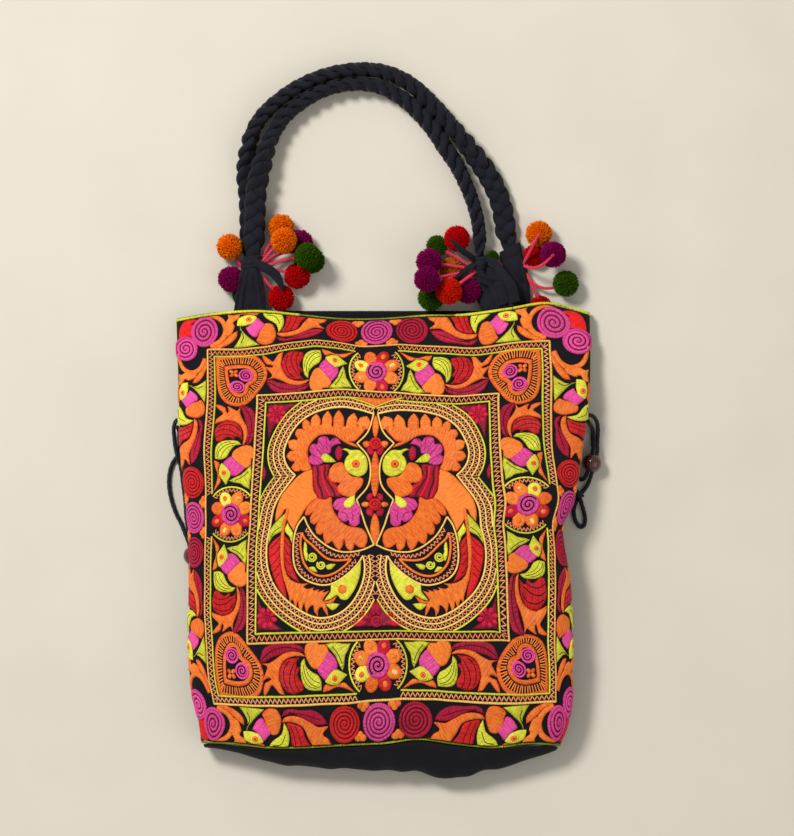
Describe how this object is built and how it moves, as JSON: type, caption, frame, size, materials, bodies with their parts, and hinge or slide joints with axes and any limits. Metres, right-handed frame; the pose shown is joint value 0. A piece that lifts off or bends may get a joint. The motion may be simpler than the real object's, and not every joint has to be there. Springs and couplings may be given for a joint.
{
  "type": "embroidered cloth tote bag",
  "caption": "Soft black cloth tote lying flat, with an embroidered front, boat-shaped base, braided arch handles, wool pompoms on strings and beaded side ties.",
  "frame": {"origin": "centre of the flat underside of the back panel, which the bag lies on", "axes": "+Z out of the embroidered front, +Y towards the handles, +X towards the wearer's right of the front"},
  "size_m": [0.3816, 0.6253, 0.0563],
  "materials": {
    "amber_wool": "wool yarn",
    "black_cloth": "matte cotton weave",
    "braided_cloth": "matte cloth cord",
    "dark_wood": "polished",
    "embroidered_cloth": "matte cloth with glossy satin stitch",
    "green_wool": "wool yarn",
    "lime_piping": "satin stitch over a cord",
    "orange_wool": "wool yarn",
    "pink_string": "fine yarn",
    "purple_wool": "wool yarn",
    "red_wool": "wool yarn",
    "scarlet_wool": "wool yarn",
    "side_cord": "waxed twisted cord"
  },
  "bodies": {
    "root": {"front_panel": "embroidered_cloth", "back_panel": "black_cloth", "base_panel": "black_cloth", "tab_left_front": "black_cloth", "tab_left_back": "black_cloth", "tab_right_front": "black_cloth", "tab_right_back": "black_cloth", "tie_left_front": "black_cloth", "tie_left_back": "black_cloth", "tie_right_front": "black_cloth", "tie_right_back": "black_cloth", "piping_front": "lime_piping", "piping_back": "lime_piping", "handle_front": "braided_cloth", "handle_back": "braided_cloth", "strings_left_front": "pink_string", "strings_left_back": "pink_string", "strings_right_front": "pink_string", "strings_right_back": "pink_string", "side_cord_left": "side_cord", "side_cord_right_stub": "side_cord", "side_cord_right_loop": "side_cord", "side_bead_left": "dark_wood", "side_bead_right": "dark_wood", "pompom_left_front_1": "orange_wool", "pompom_left_front_2": "orange_wool", "pompom_left_front_3": "purple_wool", "pompom_left_front_4": "green_wool", "pompom_left_front_5": "red_wool", "pompom_left_front_6": "red_wool", "pompom_left_back_1": "orange_wool", "pompom_left_back_2": "purple_wool", "pompom_left_back_3": "green_wool", "pompom_left_back_4": "green_wool", "pompom_right_front_1": "green_wool", "pompom_right_front_2": "red_wool", "pompom_right_front_3": "purple_wool", "pompom_right_front_4": "purple_wool", "pompom_right_front_5": "green_wool", "pompom_right_front_6": "scarlet_wool", "pompom_right_front_7": "purple_wool", "pompom_right_front_8": "amber_wool", "pompom_right_back_1": "green_wool", "pompom_right_back_2": "orange_wool", "pompom_right_back_3": "red_wool", "pompom_right_back_4": "purple_wool", "pompom_right_back_5": "green_wool", "pompom_right_back_6": "red_wool"}
  },
  "joints": []
}
